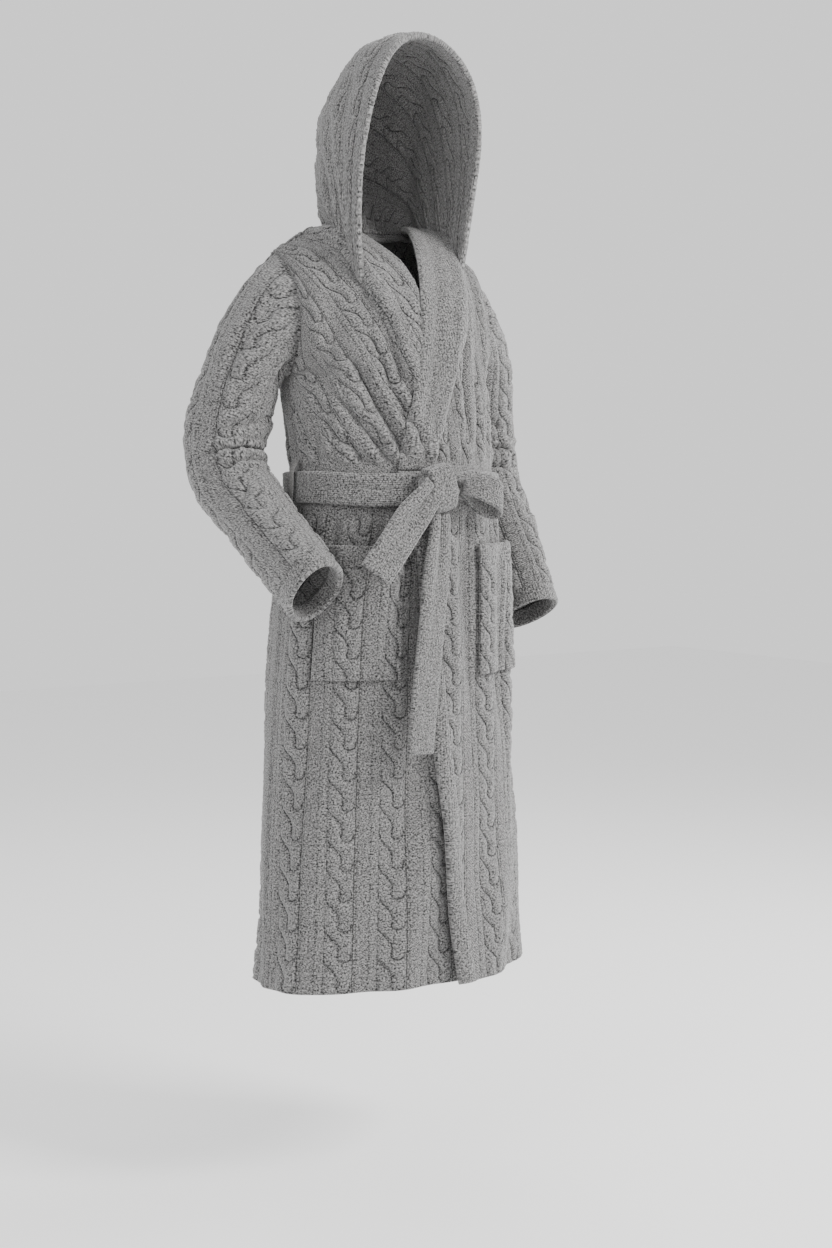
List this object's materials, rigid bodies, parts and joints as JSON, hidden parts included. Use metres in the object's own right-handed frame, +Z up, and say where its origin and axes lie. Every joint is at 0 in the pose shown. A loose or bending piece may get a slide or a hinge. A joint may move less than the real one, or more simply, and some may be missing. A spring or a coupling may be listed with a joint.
{
  "type": "hooded bathrobe",
  "caption": "Hooded, shawl-collared wrap bathrobe in cable-patterned plush, tied at the waist with a belt, with patch pockets, folding sleeves and a hood that folds back.",
  "frame": {"origin": "the nape: middle of the back neck seam, where the robe hangs from the shoulders", "axes": "+Z up along the back; the robe faces -Y; the wearer's left is +X"},
  "size_m": [0.6662, 0.3757, 1.5462],
  "materials": {
    "cable_plush": "heather grey cable-jacquard plush",
    "plain_band": "heather grey plain plush",
    "belt_plush": "heather grey plain plush, two plies",
    "trim_tape": "grey woven tape",
    "label_satin": "plain woven satin"
  },
  "bodies": {
    "robe": {"back_panel": "cable_plush", "belt_knot": "belt_plush", "belt_waist_band": "belt_plush", "care_label": "label_satin", "left_belt_loop": "trim_tape", "left_edge_band": "plain_band", "left_front_panel": "cable_plush", "left_lapel": "plain_band", "left_pocket": "cable_plush", "left_pocket_hem": "plain_band", "neck_tape": "trim_tape", "right_belt_loop": "trim_tape", "right_edge_band": "plain_band", "right_front_panel": "cable_plush", "right_lapel": "plain_band", "right_pocket": "cable_plush", "right_pocket_hem": "plain_band"},
    "left_upper_arm": {"left_upper_sleeve": "cable_plush"},
    "right_upper_arm": {"right_upper_sleeve": "cable_plush"},
    "left_forearm": {"left_forearm_sleeve": "cable_plush", "left_elbow_liner": "cable_plush", "left_cuff_band": "plain_band"},
    "right_forearm": {"right_forearm_sleeve": "cable_plush", "right_elbow_liner": "cable_plush", "right_cuff_band": "plain_band"},
    "hood": {"hood_edge_band": "plain_band", "hood_left_half": "cable_plush", "hood_right_half": "cable_plush"},
    "long_tail": {"belt_long_tail": "belt_plush"},
    "short_tail": {"belt_short_tail": "belt_plush"},
    "bow": {"belt_bow_loop": "belt_plush"},
    "skirt_flap": {"left_front_flap": "cable_plush", "left_flap_edge_band": "plain_band"},
    "hanger": {"hanging_loop": "trim_tape"}
  },
  "joints": [
    {"name": "left_shoulder_swing", "type": "hinge", "parent": "robe", "child": "left_upper_arm", "pos_m": [0.19, -0.045, -0.15], "axis": [-1, 0, 0], "range_deg": [-20, 60]},
    {"name": "right_shoulder_swing", "type": "hinge", "parent": "robe", "child": "right_upper_arm", "pos_m": [-0.19, -0.045, -0.15], "axis": [-1, 0, 0], "range_deg": [0, 55]},
    {"name": "left_elbow_bend", "type": "hinge", "parent": "left_upper_arm", "child": "left_forearm", "pos_m": [0.268, 0.03, -0.385], "axis": [-1, 0, 0], "range_deg": [-15, 38]},
    {"name": "right_elbow_bend", "type": "hinge", "parent": "right_upper_arm", "child": "right_forearm", "pos_m": [-0.275, -0.005, -0.4], "axis": [-1, 0, 0], "range_deg": [0, 25]},
    {"name": "hood_fold_back", "type": "hinge", "parent": "robe", "child": "hood", "pos_m": [0, 0.016, 0.004], "axis": [-1, 0, 0], "range_deg": [0, 100]},
    {"name": "long_tail_lift", "type": "hinge", "parent": "robe", "child": "long_tail", "pos_m": [-0.014, -0.262, -0.467], "axis": [-1, 0, 0], "range_deg": [0, 55]},
    {"name": "short_tail_lift", "type": "hinge", "parent": "robe", "child": "short_tail", "pos_m": [-0.056, -0.262, -0.452], "axis": [-0.8386, 0, 0.5447], "range_deg": [0, 45]},
    {"name": "bow_droop", "type": "hinge", "parent": "robe", "child": "bow", "pos_m": [0.026, -0.268, -0.43], "axis": [0, 1, 0], "range_deg": [-15, 15], "stiffness_Nm_per_rad": 0.3},
    {"name": "skirt_flap_open", "type": "hinge", "parent": "robe", "child": "skirt_flap", "pos_m": [0.15, -0.2095, -1.0625], "axis": [0, 0.027, 0.9996], "range_deg": [0, 38]},
    {"name": "hanging_loop_flip", "type": "hinge", "parent": "robe", "child": "hanger", "pos_m": [0, -0.0025, -0.0095], "axis": [-1, 0, 0], "range_deg": [0, 100]}
  ]
}
